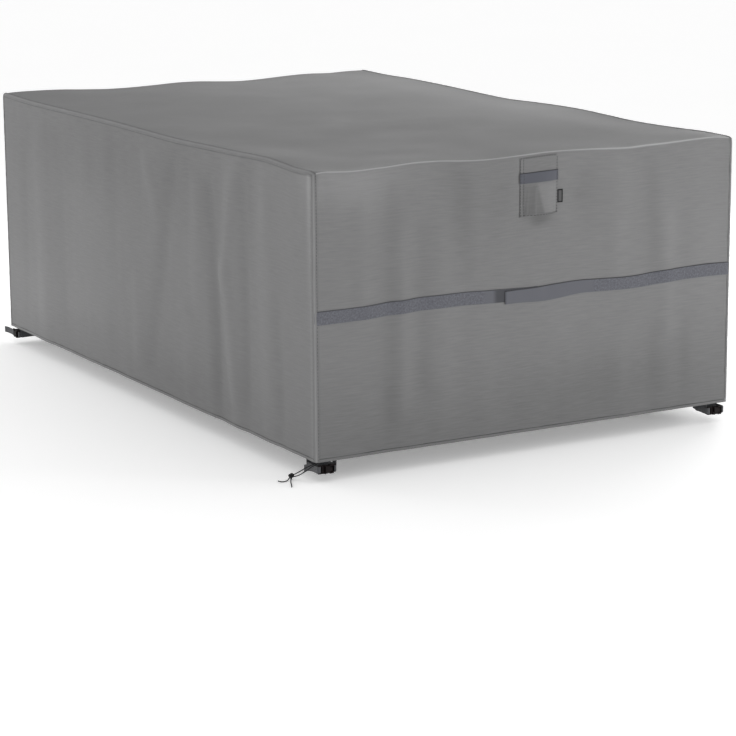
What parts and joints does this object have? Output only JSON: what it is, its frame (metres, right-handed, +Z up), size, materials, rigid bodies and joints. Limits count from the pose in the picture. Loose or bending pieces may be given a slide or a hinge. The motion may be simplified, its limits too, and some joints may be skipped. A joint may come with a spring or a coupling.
{
  "type": "patio furniture cover",
  "caption": "Fitted cloth cover for patio furniture: a draped box with sewn side panels, a cross strap, a hooded vent, corner webbing with side-release buckles and a knotted drawcord.",
  "frame": {"origin": "middle of the roof's underside, where the cover rests on the furniture below it", "axes": "+Z up; -Y faces out of the short wall that has the vent and the strap; +X is to the right for someone who looks at that wall"},
  "size_m": [1.5039, 2.2642, 0.8687],
  "materials": {
    "cloth": "mid-grey coated polyester canvas, matt, faint cross slubs",
    "strap": "blue-grey hook-and-loop tape, matt pile with smooth stretches",
    "webbing": "dark grey flat woven webbing",
    "plastic": "black moulded plastic, fine satin grain",
    "label": "bare woven tab, grey with a dark border",
    "cord": "black braided cord"
  },
  "bodies": {
    "root": {"main_panel": "cloth", "side_panel_left": "cloth", "side_panel_right": "cloth", "strap_left": "strap", "strap_right": "strap", "vent_hood": "cloth", "vent_band": "strap", "label_tab": "label", "webbing_front_left": "webbing", "tail_front_left": "webbing", "hanger_front_left_a": "webbing", "hanger_front_left_b": "webbing", "buckle_front_left_plug": "plastic", "buckle_front_left_socket": "plastic", "webbing_front_right": "webbing", "tail_front_right": "webbing", "hanger_front_right_a": "webbing", "hanger_front_right_b": "webbing", "buckle_front_right_plug": "plastic", "buckle_front_right_socket": "plastic", "webbing_back_left": "webbing", "tail_back_left": "webbing", "hanger_back_left_a": "webbing", "hanger_back_left_b": "webbing", "buckle_back_left_plug": "plastic", "buckle_back_left_socket": "plastic", "webbing_back_right": "webbing", "tail_back_right": "webbing", "hanger_back_right_a": "webbing", "hanger_back_right_b": "webbing", "buckle_back_right_plug": "plastic", "buckle_back_right_socket": "plastic", "cord_strand_1": "cord", "cord_strand_2": "cord", "cord_tail_1": "cord", "cord_tail_2": "cord", "cord_knot": "cord"}
  },
  "joints": []
}
